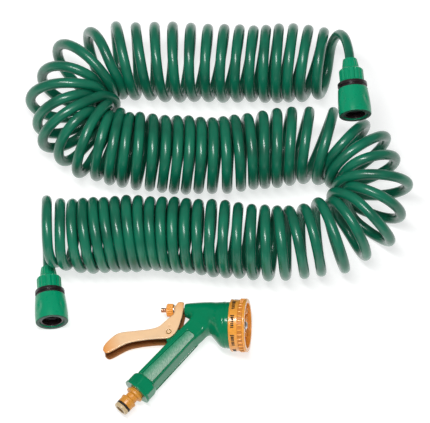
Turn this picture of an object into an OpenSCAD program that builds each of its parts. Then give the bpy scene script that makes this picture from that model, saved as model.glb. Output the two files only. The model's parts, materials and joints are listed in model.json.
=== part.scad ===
// Trigger spray gun with a turn-dial head, lying on its side, and its coiled
// recoil hose with a quick connector on each end.
// Units are millimetres. The gun is modelled in its own frame: X along the spray,
// Y towards the top of the gun, Z out of its side, with the dial's rear face at X = 0.
// lay() then sets it down on its dial, its collar and its trigger.

/* [Spray head] */
// Outer diameter of the pattern dial
dial_d = 56; // [54:0.5:58]
// Length of the pattern dial along the spray
dial_len = 17.2; // [16.5:0.1:19]
// Radius at which the spray patterns and the valve sit, from the dial's axis
port_r = 17; // [16.5:0.1:17.5]
// Number of spray patterns
patterns = 8; // [4:4:8]
// Diameter of the bell behind the dial
bell_d = 48.6; // [47:0.2:50]
// Distance from the bell's face to the back of the barrel
head_len = 50.3; // [50:0.1:50.6]

/* [Valve] */
// Diameter of the valve stem
stem_d = 5; // [4:0.1:5]
// Diameter of the knurled flow nut on the stem
flow_nut_d = 13.8; // [12:0.2:14]
// Bore of the valve seat
seat_bore = 6; // [4:0.2:7]

/* [Trigger] */
// Width of the trigger across its two cheeks
trigger_w = 18; // [17:0.2:19]
// Thickness of the trigger's cheeks and web
trigger_wall = 2; // [1.6:0.1:2]
// Diameter of the pivot pin
pivot_d = 4; // [3:0.1:4.4]

/* [Handle] */
// Angle of the handle below the spray axis
handle_angle = 52.3; // [52:0.1:53]
// Width of the handle below the trigger, seen from the side
grip_w_top = 19; // [18:0.2:20]
// Width of the handle at the collar, seen from the side
grip_w_end = 21.8; // [21:0.2:23]
// Thickness of the handle across its two inlaid faces
grip_depth = 20; // [19:0.2:21]
// Diameter of the collar at its lower rim
collar_d = 31.2; // [30:0.2:32]

/* [Inlet] */
// Diameter of the inlet tail's nose
nose_d = 15.8; // [15.6:0.1:16]
// Diameter of the water passage in the inlet tail
tail_bore = 10; // [8:0.5:10]

/* [Hose] */
// Outer diameter of the hose
hose_d = 10; // [9.5:0.1:10]
// Bore of the hose
hose_bore = 7; // [6:0.2:7]
// Outer diameter of the hose's coil
coil_d = 80; // [79:0.5:80]
// Wall that holds the coil's own plastic when its turns are drawn as one tube
coil_wall = 2.5; // [2:0.1:4]

/* [Connectors] */
// Largest diameter of a connector's sleeve
sleeve_d = 34.6; // [34:0.2:35]
// Diameter of a connector's hose nut
hose_nut_d = 25.6; // [25:0.2:26.4]
// Bore that takes a standard tail
socket_d = 16.1; // [16:0.05:16.3]

/* [Hidden] */
$fn = 64;
hull_sides = 32;
skin_sides = 40;
tube_sides = 12;
gap = 0.3;
// Clearance of a running fit, on the radius
run = 0.05;
eps = 0.02;

// How the gun lies: its turn about X, Y and Z, and where its dial's axis then is
lie_turn = [-1.39, -8.27, -4.1];
lie_at = [56.2, 32.8, 27.17];
// Where the hose's own layout sits beside the gun
hose_at = [-1, -4.5, 0];

// Barrel outline: position along X, height of the centre, radius
barrel_rings = [
    [0, 0, bell_d / 2], [-6.5, 0.3, bell_d / 2], [-10, 0.8, 23.6], [-13, 2, 22.4],
    [-17, 4.4, 20], [-22.5, 7.7, 17.3], [-30, 10.2, 14.8], [-38, 13.2, 11.6],
    [-46, 16, 8.4], [-head_len, port_r, 6.9]];
// Fillet between barrel and handle: place along the handle, centre across it, half width
grip_rings = [[-22, -1, 10], [-12, -1, 10.6], [-5, -0.6, 10.4], [2, 0, 9.8]];
grip_top = [-45.5, -15.3];
grip_len = 63;
grip_round = 3.4;

chamber_r = 5.6;
chamber_front = -22.4;
seat_front = -19;
outlet_r = 4;
passage_r = 5;
gland_front = -43;
oring_w = 1.8;

// Trigger outline: the finger side from the tip to the top of the short arm,
// and the handle side back down to the tip
pivot_at = [-63.7, -12.2];
finger_edge = [
    [-131.8, -29.5], [-128.3, -23.4], [-119.4, -14.6], [-111, -11.9], [-100.6, -10.6],
    [-84.8, -8.4], [-75.6, -5.4], [-69.5, 0.4], [-62.7, 7.2], [-60.6, 9.6], [-59.6, 16.9],
    [-58.1, 21.4], [-55.8, 23]];
handle_edge = [
    [-52, 22.8], [-50.6, 21], [-50.7, 14], [-51.6, 5.5], [-54.2, -6.3], [-56.6, -12.4],
    [-61.4, -17.8], [-67, -19.5], [-83.8, -20.7], [-99.6, -23.3], [-109.9, -26.8],
    [-124.1, -35.6], [-128.6, -36.2], [-131.6, -33.4]];
pad_at = [-58.85, port_r];
pad_r = 2.2;
stem_slot = [6.2, 9.4];
pivot_lug_w = 13.6;

stem_rear = -75.5;
washer_front = pad_at[0] - pad_r - run;
washer_t = 0.8;
flow_nut_front = washer_front - washer_t;
flow_nut_len = 7.6;

// Along the handle, from below the trigger
collar_end = 78.5;
spigot_r = 11;
spigot_end = 71;
washer_end = 72.5;
tail_root_end = 75.5;
collar_hole_r = 8.3;

plate_t = 4;
gasket_front = 4.85;
dial_rear = 0.3;
pattern_rear = 4.9;
pattern_front = 9.9;
hub_front = 12.3;
dial_wall = 3.1;
spindle_r = 4.5;
ball_r = 1.5;
// The ball rolls in a groove with a dimple at each pattern, inside the ring of ports
track_r = 9.5;
track_depth = 0.5;

// Connector: places along its axis, back from the mouth
sleeve_len = 29.5;
ring_rear = 36;
ring_t = 3.5;
core_rear = 47;
nut_shoulder = 52;
nut_rear = 63.5;
hose_stop = 47.3;
// How far the hose stays straight behind the nut, which backs off along it
nut_back = 4;
barb_len = 13;
guide_depth = 9;
guide_r = 10.3;
socket_rear = 19.8;
seal_front = 21.9;
socket_end = 24;
seal_r = socket_d / 2 + 0.35;
core_r = 10.5;
thread_gap = 0.2;

tap_at = [187, 248, 93.5];
tap_turn = [96, 0, 4.6];
coupler_at = [-129.7, 45, 17.65];
coupler_turn = [88.5, 0, 5];

// Hose route on the table: the straight runs' own points, X and Y, then two round bends
coil_z = 40;
upper_run = [[155, 336.5], [120, 336.5], [80, 335], [32, 336], [-28, 338], [-66, 338]];
left_bend_at = [-66, 286.5];
left_bend_r = 51.5;
middle_run = [[-66, 235], [-18, 231], [41, 229], [90, 235], [129, 238], [152, 237]];
right_bend_at = [152, 182];
right_bend_r = 55;
lower_run = [[152, 127], [98, 124], [24, 133], [-34, 137], [-91, 134.5], [-109, 134.5]];
bend_steps = 8;
// The free stretch from the tap connector over and down to the first turn
tap_route = [
    [181.3, 319, 100.4], [179.5, 330, 98.6], [177, 341, 93.4], [173.5, 350, 84.4],
    [170.5, 355.5, 73], [168, 358.8, 60], [165.5, 360, 47], [163.5, 359, 34],
    [162.5, 354.5, 21], [161.8, 346, 11.3], [161.2, 335.5, 6.3], [160.6, 325, 6.2]];
// The last two turns and the stretch to the gun's connector
gun_route = [
    [-114.2, 133, 5.2], [-114.2, 115.5, 9.7], [-116.6, 102.7, 22.5], [-121, 98, 40],
    [-123, 102, 57.5], [-123.5, 115, 70.3], [-123, 133, 75], [-122.5, 151, 70.2],
    [-122.3, 164, 57], [-122.5, 169, 40], [-123, 165, 22.5], [-124, 153, 10.5],
    [-124.6, 137, 6.3], [-123.6, 121.5, 11.8], [-126.8, 107.6, 31], [-132.2, 102, 46.5],
    [-135, 107, 62], [-135.6, 120, 73.5], [-135.6, 137, 77], [-135.6, 154, 72.5],
    [-136, 166, 60], [-136.6, 170.5, 43], [-137, 166.5, 26], [-137.2, 155, 14.5],
    [-137, 142, 11], [-136.4, 130, 12.6], [-135.8, 119, 15.2]];

// ---- helpers ----

module lay() {
    translate(lie_at) rotate(lie_turn) children();
}

// A round piece about the spray axis, outline given as [radius, X]
module along_spray(outline, height = 0) {
    translate([0, height, 0]) rotate([0, 90, 0]) rotate_extrude() polygon(outline);
}

// A ring between two radii and two places along the spray
module spray_ring(r_in, r_out, from, to, height = 0) {
    along_spray([[r_in, from], [r_out, from], [r_out, to], [r_in, to]], height);
}

// The handle's own frame: Z down the handle, X towards the trigger side
module on_handle(s = 0) {
    translate([grip_top[0], grip_top[1], 0])
        rotate([0, 0, handle_angle - 90])
            rotate([90, 0, 0])
                translate([0, 0, s])
                    mirror([1, 0, 0])
                        children();
}

module handle_revolve(outline) {
    on_handle() rotate_extrude() polygon(outline);
}

function unit(v) = v / norm(v);

function circle_ring(c, r, n) = [for (i = [0:n - 1]) c + r * [cos(360 * i / n), sin(360 * i / n)]];

// Side walls of a skin over rings of n points each
function skin_walls(rings, n, first = 0, flip = false) = [
    for (i = [0:rings - 2]) for (j = [0:n - 1])
        let (a = first + i * n + j, b = first + i * n + (j + 1) % n)
            flip ? [a, b, b + n, a + n] : [a, a + n, b + n, b]];

function cap(start, n, flip = false) = flip ? [for (j = [n - 1:-1:0]) start + j] : [for (j = [0:n - 1]) start + j];

// Centre differences along a list of points
function tangent(p, i) = unit(p[min(i + 1, len(p) - 1)] - p[max(i - 1, 0)]);

// Normals carried along the points without twist
function carried(p, n, i = 0) =
    let (t = tangent(p, i), here = unit(n - (n * t) * t))
        i == len(p) - 1 ? [here] : concat([here], carried(p, here, i + 1));

function tube_ring(c, t, n, r, sides) =
    [for (j = [0:sides - 1]) c + r * (cos(360 * j / sides) * n + sin(360 * j / sides) * cross(t, n))];

// A solid round tube through the points p
module swept(p, r, sides, start = [0, 0, 1]) {
    normals = carried(p, start);
    points = [for (i = [0:len(p) - 1]) each tube_ring(p[i], tangent(p, i), normals[i], r, sides)];
    last = (len(p) - 1) * sides;
    polyhedron(points, concat(skin_walls(len(p), sides), [cap(0, sides), cap(last, sides, true)]));
}

// A wound spring about Z, from z = 0, with its wire's centre on radius r
module wound_spring(r, wire, length, turns) {
    steps = 10;
    rise = length - wire;
    points = [for (i = [0:turns * steps])
        [r * cos(360 * i / steps), r * sin(360 * i / steps), wire / 2 + rise * i / (turns * steps)]];
    swept(points, wire / 2, 6);
}

// ---- gun ----

module barrel_skin() {
    n = skin_sides;
    rings = len(barrel_rings);
    points = [for (b = barrel_rings) for (q = circle_ring([b[1], 0], b[2], n)) [b[0], q[0], q[1]]];
    polyhedron(points, concat(skin_walls(rings, n, 0, true), [cap(0, n, true), cap((rings - 1) * n, n)]));
}

// A rounded rectangle with half sizes a and b
function round_box(a, b, r, shift) = [
    for (q = [[1, 1, 0], [-1, 1, 90], [-1, -1, 180], [1, -1, 270]]) for (k = [0:4])
        [shift + q[0] * (a - r) + r * cos(q[2] + 22.5 * k), q[1] * (b - r) + r * sin(q[2] + 22.5 * k)]];

module handle_skin() {
    rings = concat(grip_rings, [[grip_len, 0, grip_w_end / 2]]);
    n = 20;
    points = [for (g = rings) for (q = round_box(g[2], grip_depth / 2, grip_round, g[1])) [q[0], q[1], g[0]]];
    on_handle()
        polyhedron(points, concat(skin_walls(len(rings), n), [cap(0, n), cap((len(rings) - 1) * n, n, true)]));
}

// Lug that carries the pivot pin between the trigger's cheeks
module pivot_lug() {
    translate([pivot_at[0], pivot_at[1], -pivot_lug_w / 2]) cylinder(h = pivot_lug_w, r = 4.6);
    translate([0, 0, -pivot_lug_w / 2]) linear_extrude(pivot_lug_w)
        polygon([[-60.2, -9.1], [-48, -8], [-56, -26], [-64.5, -25.5], [-67.6, -14.6]]);
}

// Outline of the inlay in one side of the handle: X across the handle, Y down it
module inlay_outline(inset = 0) {
    polygon([
        [5.9 - inset, 62 - inset], [-8.8 + inset, 62 - inset], [-8.3 + inset, -3.6],
        [-6.8 + inset, -5.2 + inset], [0.4 - inset, -5.2 + inset], [2.2 - inset, -3.6]]);
}

module inlay_plate(thick, inset) {
    on_handle()
        translate([0, grip_depth / 2 - thick, 0])
            rotate([90, 0, 0]) mirror([0, 0, 1])
                linear_extrude(thick) inlay_outline(inset);
}

module gun_body() {
    color("seagreen") lay() difference() {
        union() {
            barrel_skin();
            handle_skin();
            pivot_lug();
            on_handle(grip_len - eps) cylinder(h = spigot_end - grip_len + eps, r = spigot_r);
        }
        along_spray([[0, -head_len - 1], [chamber_r, -head_len - 1], [chamber_r, seat_front],
            [outlet_r, seat_front], [outlet_r, 1], [0, 1]], port_r);
        on_handle(-32) cylinder(h = spigot_end + 33, r = passage_r);
        translate([pivot_at[0], pivot_at[1], -trigger_w]) cylinder(h = 2 * trigger_w, d = pivot_d);
        translate([0, 0, 0.001]) inlay_plate(1.2, -gap / 2);
        mirror([0, 0, 1]) translate([0, 0, 0.001]) inlay_plate(1.2, -gap / 2);
    }
}

module inlay(side) {
    color("darkseagreen") lay() mirror([0, 0, side]) translate([0, 0, -0.25]) inlay_plate(0.9, 0);
}

module inlay_front() {
    inlay(0);
}

module inlay_back() {
    inlay(1);
}

module handle_collar() {
    color("seagreen") lay() handle_revolve([
        [spigot_r + run, grip_len + run], [13.9, grip_len + run], [14.2, grip_len + 2], [14.6, 75.5],
        [collar_d / 2, 76.5], [collar_d / 2, collar_end], [collar_hole_r, collar_end],
        [collar_hole_r, tail_root_end + run], [spigot_r + run, tail_root_end + run]]);
}

module inlet_tail() {
    color("goldenrod") lay() handle_revolve([
        [tail_bore / 2, washer_end], [spigot_r - 0.1, washer_end], [spigot_r - 0.1, tail_root_end],
        [8, tail_root_end], [8, 80], [9.6, 80.4], [9.6, 83], [6.4, 84], [6.4, 89], [8.6, 90], [8.6, 92],
        [8.1, 93], [8.1, 97.6], [6.4, 97.6], [6.4, 100], [nose_d / 2, 100], [nose_d / 2, 103.2],
        [7.2, 104], [tail_bore / 2, 104]]);
}

module tail_oring() {
    color("black") lay() handle_revolve([
        [6.45, 97.7], [7.7, 97.7], [8.2, 98.2], [8.2, 99.4], [7.7, 99.9], [6.45, 99.9]]);
}

module tail_washer() {
    color("dimgray") lay() handle_revolve([
        [6, spigot_end], [spigot_r - 0.1, spigot_end], [spigot_r - 0.1, washer_end], [6, washer_end]]);
}

module inlet_filter() {
    color("silver") lay() on_handle(spigot_end + 0.3) difference() {
        cylinder(h = 0.8, r = 5.8);
        for (a = [0:60:300]) rotate([0, 0, a]) translate([3.2, 0, -1]) cylinder(h = 3, r = 1.1);
        translate([0, 0, -1]) cylinder(h = 3, r = 1.1);
    }
}

module valve_seat() {
    color("goldenrod") lay()
        spray_ring(seat_bore / 2, chamber_r, chamber_front, seat_front, port_r);
}

module gland_nut() {
    color("goldenrod") lay() along_spray([
        [stem_d / 2 + run, -head_len + 0.1], [chamber_r, -head_len + 0.1], [chamber_r, gland_front],
        [stem_d / 2 + run, gland_front], [stem_d / 2 + run, -44.6], [4.2, -44.6],
        [4.2, -44.6 - oring_w], [stem_d / 2 + run, -44.6 - oring_w]], port_r);
}

module gland_oring() {
    color("black") lay()
        spray_ring(stem_d / 2 + run, 4.2, -44.6 - oring_w, -44.6, port_r);
}

module valve_spring() {
    color("silver") lay()
        translate([gland_front + 0.1, port_r, 0]) rotate([0, 90, 0]) wound_spring(4, 0.9, 15.7, 6);
}

module pivot_pin() {
    color("goldenrod") lay() translate([pivot_at[0], pivot_at[1], 0]) difference() {
        translate([0, 0, -trigger_w / 2 - 1]) cylinder(h = trigger_w + 2, d = pivot_d);
        for (side = [0, 1]) mirror([0, 0, side]) translate([0, 0, trigger_w / 2 + 0.1]) difference() {
            cylinder(h = 0.6, d = pivot_d + 1);
            translate([0, 0, -1]) cylinder(h = 3, d = pivot_d - 0.8);
        }
    }
}

module pivot_clips() {
    color("silver") lay() translate([pivot_at[0], pivot_at[1], 0])
        for (side = [0, 1]) mirror([0, 0, side]) translate([0, 0, trigger_w / 2 + 0.12]) difference() {
            cylinder(h = 0.56, d = pivot_d + 1.6);
            translate([0, 0, -1]) cylinder(h = 3, d = pivot_d - 0.78);
        }
}

module spindle_plate() {
    color("dimgray") lay() difference() {
        union() {
            spray_ring(0, 22.5, 0, plate_t);
            spray_ring(0, spindle_r, plate_t - eps, hub_front + 0.1);
        }
        spray_ring(0, 1.6, plate_t - 2, hub_front + 1);
        spray_ring(0, 3.2, -1, plate_t + 1, port_r);
        spray_ring(0, 5.2, 2, plate_t + 1, port_r);
        spray_ring(4.4, 6.2, -1, 1.2, port_r);
        translate([0.6, -track_r, 0]) rotate([0, 90, 0]) cylinder(h = plate_t, r = ball_r + 0.1);
    }
}

module plate_oring() {
    color("black") lay() spray_ring(4.4, 6.2, 0.02, 1.15, port_r);
}

module port_gasket() {
    color("black") lay() spray_ring(2.6, 5.2, 2, gasket_front, port_r);
}

module detent_ball() {
    color("silver") lay() translate([plate_t - 0.2, -track_r, 0]) sphere(r = ball_r);
}

module detent_spring() {
    color("silver") lay()
        translate([0.65, -track_r, 0]) rotate([0, 90, 0]) wound_spring(1.1, 0.35, 1.6, 3);
}

module dial_cup() {
    inner = dial_d / 2 - dial_wall;
    color("orange") lay() along_spray([
        [inner, dial_rear], [dial_d / 2 - 0.5, dial_rear], [dial_d / 2 - 0.5, 1.6],
        [dial_d / 2 - 1.1, 1.8], [dial_d / 2 - 1.1, 9.4], [dial_d / 2 - 0.2, 9.9], [dial_d / 2, 15.6],
        [dial_d / 2 - 0.6, dial_len], [inner - 1.4, dial_len], [inner - 1.4, pattern_front], [inner, pattern_front]]);
}

// Nozzle of one pattern, standing on the plate at its place round the dial
module pattern_nozzle(kind) {
    if (kind == 0) cylinder(h = 5.2, r1 = 5.4, r2 = 3.4);
    if (kind == 1) cylinder(h = 2.4, r = 6.4);
    if (kind == 2) cylinder(h = 3.4, r = 5);
    if (kind == 3) cylinder(h = 4, r1 = 6, r2 = 5);
}

module pattern_bore(kind) {
    if (kind == 0) cylinder(h = 20, r = 1.6);
    if (kind == 1) for (a = [0:45:315]) rotate([0, 0, a]) translate([4, 0, 0]) cylinder(h = 20, r = 0.7);
    if (kind == 2) cylinder(h = 20, r = 2.6);
    if (kind == 3) translate([-4, -0.8, 0]) cube([8, 1.6, 20]);
}

module pattern_plate() {
    color("darkorange") lay() rotate([0, 90, 0]) difference() {
        union() {
            translate([0, 0, pattern_rear]) cylinder(h = pattern_front - pattern_rear, r = dial_d / 2 - dial_wall - run);
            translate([0, 0, pattern_rear]) cylinder(h = hub_front - pattern_rear, r = 8);
            for (i = [0:patterns - 1]) rotate([0, 0, 360 * i / patterns])
                translate([0, port_r, pattern_front - eps]) pattern_nozzle(i % 4);
        }
        cylinder(h = 20, r = spindle_r + run);
        for (i = [0:patterns - 1]) rotate([0, 0, 360 * i / patterns]) translate([0, port_r, 0]) {
            pattern_bore(i % 4);
            translate([0, track_r - port_r, plate_t]) sphere(r = ball_r + run);
        }
        rotate_extrude() translate([track_r - ball_r, pattern_rear - 1]) square([2 * ball_r, track_depth + 1]);
    }
}

module screw_washer() {
    color("silver") lay() spray_ring(1.65, 7.5, hub_front + 0.12, 13.4);
}

module dial_screw() {
    color("silver") lay() difference() {
        union() {
            spray_ring(0, 1.6, plate_t - 1.8, 13.5);
            along_spray([[0, 13.42], [4.2, 13.42], [4.2, 15], [3, 16.2], [0, 16.2]]);
        }
        translate([14.8, -2.4, -0.5]) cube([3, 4.8, 1]);
        translate([14.8, -0.5, -2.4]) cube([3, 1, 4.8]);
    }
}

// The line of the finger side moved in by the web's thickness
function web_line(d) = [for (i = [0:len(finger_edge) - 1])
    let (t = tangent(finger_edge, i)) finger_edge[i] + d * [t[1], -t[0]]];

module trigger() {
    inside = trigger_w - 2 * trigger_wall;
    open_side = [[-40, 30], [-40, -60], [-140, -60], [-140, -36]];
    color("burlywood") lay() difference() {
        union() {
            difference() {
                translate([0, 0, -trigger_w / 2]) linear_extrude(trigger_w)
                    polygon(concat(finger_edge, handle_edge));
                translate([0, 0, -inside / 2]) linear_extrude(inside)
                    polygon(concat(web_line(trigger_wall), open_side));
            }
            translate([pad_at[0], pad_at[1], -inside / 2 - 1]) cylinder(h = inside + 2, r = pad_r);
        }
        translate([-70, pad_at[1] - stem_slot[1] / 2, -stem_slot[0] / 2]) cube([25, stem_slot[1], stem_slot[0]]);
        translate([pivot_at[0], pivot_at[1], -trigger_w]) cylinder(h = 2 * trigger_w, r = pivot_d / 2 + run);
    }
}

module valve_stem() {
    color("peru") lay() along_spray([
        [0, stem_rear], [stem_d / 2 - 0.5, stem_rear], [stem_d / 2, stem_rear + 0.5], [stem_d / 2, -36],
        [1.6, -36], [1.6, chamber_front - 0.2], [0, chamber_front - 0.2]], port_r);
}

module valve_plug() {
    color("goldenrod") lay() spray_ring(1.6, 4.4, -27.1, -24.6, port_r);
}

module plug_washer() {
    color("black") lay() spray_ring(1.6, 4.6, -24.6, chamber_front - 0.1, port_r);
}

module thrust_washer() {
    color("silver") lay() spray_ring(stem_d / 2 + run, 6, flow_nut_front, washer_front, port_r);
}

module flow_nut() {
    grooves = 18;
    color("goldenrod") lay() difference() {
        along_spray([
            [stem_d / 2 + run, flow_nut_front - run - flow_nut_len], [5.6, flow_nut_front - run - flow_nut_len],
            [flow_nut_d / 2, flow_nut_front - run - flow_nut_len + 0.8],
            [flow_nut_d / 2, flow_nut_front - run - 1.2], [5.8, flow_nut_front - run],
            [stem_d / 2 + run, flow_nut_front - run]], port_r);
        for (i = [0:grooves - 1]) translate([-80, port_r, 0]) rotate([360 * i / grooves, 0, 0])
            translate([0, flow_nut_d / 2 + 0.3, 0]) rotate([0, 90, 0]) cylinder(h = 40, r = 0.7);
    }
}

// ---- hose ----

function arc_points(c, r, from, to) = [for (i = [1:bend_steps - 1])
    let (a = from + (to - from) * i / bend_steps) c + r * [cos(a), sin(a)]];

coil_path = [for (q = concat(
    upper_run, arc_points(left_bend_at, left_bend_r, 90, 270), middle_run,
    arc_points(right_bend_at, right_bend_r, 90, -90), lower_run)) [q[0], q[1], coil_z]];
left_start = len(upper_run) - 1;
left_end = left_start + bend_steps;
right_start = left_end + len(middle_run) - 1;
right_end = right_start + bend_steps;
coil_end = len(coil_path) - 1;

// The coil's outer shape between two of the path's points, as one thick-walled tube
module coil_stretch(first, last) {
    n = tube_sides;
    rings = last - first + 1;
    outer = [for (i = [first:last]) each
        tube_ring(coil_path[i], tangent(coil_path, i), [0, 0, 1], coil_d / 2, n)];
    inner = [for (i = [first:last]) each
        tube_ring(coil_path[i], tangent(coil_path, i), [0, 0, 1], coil_d / 2 - coil_wall, n)];
    deep = rings * n;
    end = (rings - 1) * n;
    start_face = [for (j = [0:n - 1]) [j, (j + 1) % n, deep + (j + 1) % n, deep + j]];
    end_face = [for (j = [0:n - 1]) [end + j, deep + end + j, deep + end + (j + 1) % n, end + (j + 1) % n]];
    color("darkgreen") translate(hose_at) polyhedron(
        concat(outer, inner),
        concat(skin_walls(rings, n), skin_walls(rings, n, deep, true), start_face, end_face));
}

module hose_upper_run() {
    coil_stretch(0, left_start);
}

module hose_left_bend() {
    coil_stretch(left_start, left_end);
}

module hose_middle_run() {
    coil_stretch(left_end, right_start);
}

module hose_right_bend() {
    coil_stretch(right_start, right_end);
}

module hose_lower_run() {
    coil_stretch(right_end, coil_end);
}

// Direction out of a connector's mouth, and a point behind its mouth
function out_of(turn) = [cos(90 - turn[0]) * sin(turn[2]), -cos(90 - turn[0]) * cos(turn[2]), cos(turn[0])];
function behind(at, turn, back) = at - back * out_of(turn);

// The hose's end inside a connector, then its route
module hose_lead(at, turn, route) {
    straight = [for (back = [hose_stop, nut_rear + nut_back]) behind(at, turn, back)];
    color("darkgreen") translate(hose_at) difference() {
        swept(concat(straight, route), hose_d / 2, tube_sides);
        translate(at) rotate(turn) translate([0, 0, -hose_stop - barb_len]) cylinder(h = barb_len + 1, d = hose_bore + 2 * run);
    }
}

module hose_tap_lead() {
    hose_lead(tap_at, tap_turn, tap_route);
}

module hose_gun_lead() {
    hose_lead(coupler_at, coupler_turn, [for (i = [len(gun_route) - 1:-1:0]) gun_route[i]]);
}

// ---- connectors, drawn about Z with the mouth at z = 0 and the hose below ----

module at_tap() {
    translate(hose_at) translate(tap_at) rotate(tap_turn) children();
}

module at_coupler() {
    translate(hose_at) translate(coupler_at) rotate(coupler_turn) children();
}

module lathe(outline) {
    rotate_extrude() polygon([for (q = outline) [q[0], -q[1]]]);
}

module claw_blocks(clear) {
    difference() {
        for (a = [0:90:270]) rotate([0, 0, a + 45])
            translate([guide_r, -2.5 - clear, -8 - clear]) cube([3, 5 + 2 * clear, 4 + 2 * clear]);
        lathe([[12.55 + clear, 0], [20, 0], [20, 12], [12.55 + clear, 12]]);
        lathe([[0, 0], [guide_r + 0.05 - clear, 0], [guide_r + 0.05 - clear, 12], [0, 12]]);
    }
}

module connector_body() {
    color("dimgray") difference() {
        lathe([
            [guide_r, 1.5], [12.6, 1.5], [12.6, 18.9], [11.8, 19.1], [11.8, sleeve_len],
            [13.9, sleeve_len + 0.1], [13.9, ring_rear - ring_t], [15.6, ring_rear - ring_t],
            [15.6, ring_rear], [core_r, ring_rear], [core_r, core_rear], [hose_bore / 2, core_rear],
            [hose_bore / 2, core_rear + barb_len], [2.2, core_rear + barb_len], [2.2, 30], [4.5, 28],
            [4.5, socket_end], [seal_r, socket_end], [seal_r, socket_rear], [socket_d / 2, socket_rear],
            [socket_d / 2, guide_depth],
            [guide_r, guide_depth - 1]]);
        claw_blocks(0.1);
    }
}

module connector_seal() {
    color("black") lathe([
        [6.2, seal_front + 0.05], [seal_r, seal_front], [seal_r, socket_end], [6.2, socket_end]]);
}

module connector_claws() {
    color("silver") claw_blocks(0);
}

module connector_spring() {
    color("silver") translate([0, 0, -sleeve_len + 0.1]) wound_spring(12.9, 0.9, 10, 3);
}

module connector_sleeve() {
    r = sleeve_d / 2;
    color("seagreen") lathe([
        [12.75, 0.6], [13.3, 0], [r - 0.9, 0], [r - 0.2, 0.8], [r, 9], [r - 0.5, 18], [r - 1.3, 26],
        [r - 1.5, sleeve_len - 0.6], [r - 2, sleeve_len], [14.1, sleeve_len], [14.1, 19], [12.75, 19]]);
}

module connector_collet() {
    color("white") lathe([
        [hose_d / 2 + 0.15, 47.8], [9, 47.8], [9, 50.4], [7.4, 51.9], [hose_d / 2 + 0.15, 51.9]]);
}

module connector_nut() {
    ribs = 12;
    r = hose_nut_d / 2;
    color("mediumseagreen") difference() {
        lathe([
            [core_r + thread_gap, ring_rear + 0.2], [r, ring_rear + 0.2], [r, nut_shoulder - 1.6],
            [r - 1.8, nut_shoulder], [8.8, nut_shoulder + 0.6], [8, nut_rear - 3], [7.2, nut_rear],
            [hose_d / 2 + 0.3, nut_rear], [hose_d / 2 + 0.3, 52.1], [9.2, 52.1],
            [9.2, 47.6], [core_r + thread_gap, 47.6]]);
        for (i = [0:ribs - 1]) rotate([0, 0, 360 * i / ribs]) translate([r + 1.4, 0, -nut_shoulder + 1])
            cylinder(h = nut_shoulder - ring_rear - 4, r = 2.2);
    }
}

module tap_body() {
    at_tap() connector_body();
}

module tap_seal() {
    at_tap() connector_seal();
}

module tap_claws() {
    at_tap() connector_claws();
}

module tap_spring() {
    at_tap() connector_spring();
}

module tap_sleeve() {
    at_tap() connector_sleeve();
}

module tap_collet() {
    at_tap() connector_collet();
}

module tap_nut() {
    at_tap() connector_nut();
}

module coupler_body() {
    at_coupler() connector_body();
}

module coupler_seal() {
    at_coupler() connector_seal();
}

module coupler_claws() {
    at_coupler() connector_claws();
}

module coupler_spring() {
    at_coupler() connector_spring();
}

module coupler_sleeve() {
    at_coupler() connector_sleeve();
}

module coupler_collet() {
    at_coupler() connector_collet();
}

module coupler_nut() {
    at_coupler() connector_nut();
}

gun_body();
inlay_front();
inlay_back();
handle_collar();
inlet_tail();
tail_oring();
tail_washer();
inlet_filter();
valve_seat();
gland_nut();
gland_oring();
valve_spring();
pivot_pin();
pivot_clips();
spindle_plate();
plate_oring();
port_gasket();
dial_screw();
screw_washer();
detent_ball();
detent_spring();
trigger();
valve_stem();
valve_plug();
plug_washer();
thrust_washer();
flow_nut();
dial_cup();
pattern_plate();
hose_upper_run();
hose_left_bend();
hose_middle_run();
hose_right_bend();
hose_lower_run();
hose_tap_lead();
hose_gun_lead();
tap_body();
tap_seal();
tap_claws();
tap_spring();
tap_sleeve();
tap_collet();
tap_nut();
coupler_body();
coupler_seal();
coupler_claws();
coupler_spring();
coupler_sleeve();
coupler_collet();
coupler_nut();
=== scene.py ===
import json
import math

import bmesh
import bpy
import numpy as np
from mathutils import Matrix, Vector
from mathutils.kdtree import KDTree


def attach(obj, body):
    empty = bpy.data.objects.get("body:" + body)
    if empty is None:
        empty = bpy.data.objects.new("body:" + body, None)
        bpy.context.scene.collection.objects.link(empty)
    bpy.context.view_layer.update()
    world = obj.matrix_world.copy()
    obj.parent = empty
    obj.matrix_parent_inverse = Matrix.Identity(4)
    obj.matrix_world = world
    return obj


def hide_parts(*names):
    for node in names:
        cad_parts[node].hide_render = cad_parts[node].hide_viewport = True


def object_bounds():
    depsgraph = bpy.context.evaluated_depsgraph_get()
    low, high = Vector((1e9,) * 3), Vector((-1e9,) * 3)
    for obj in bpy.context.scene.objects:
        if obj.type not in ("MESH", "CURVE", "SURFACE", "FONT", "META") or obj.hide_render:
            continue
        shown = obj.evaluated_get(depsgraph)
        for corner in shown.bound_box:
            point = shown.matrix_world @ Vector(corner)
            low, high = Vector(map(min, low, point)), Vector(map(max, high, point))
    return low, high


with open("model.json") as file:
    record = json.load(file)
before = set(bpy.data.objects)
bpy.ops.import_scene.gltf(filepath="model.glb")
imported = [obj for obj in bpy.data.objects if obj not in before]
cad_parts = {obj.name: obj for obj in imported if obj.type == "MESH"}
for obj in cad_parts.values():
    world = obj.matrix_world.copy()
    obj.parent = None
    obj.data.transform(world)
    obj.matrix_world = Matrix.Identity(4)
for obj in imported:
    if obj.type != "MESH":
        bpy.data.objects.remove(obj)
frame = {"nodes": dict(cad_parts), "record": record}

cad_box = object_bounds()
scene = bpy.context.scene
MM = 0.001
QUARTER = math.radians(90)

# ---- where things are
# The gun's own frame: X along the spray, Y to its top, Z out of its upper side, in mm.
GUN_TURN = (-1.39, -8.27, -4.1)
GUN_AT = (0.0562, 0.0328, 0.02717)
# The hose and its connectors are set a little to one side of their route
HOSE_AT = np.array([-0.001, -0.0045, 0.0])
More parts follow.
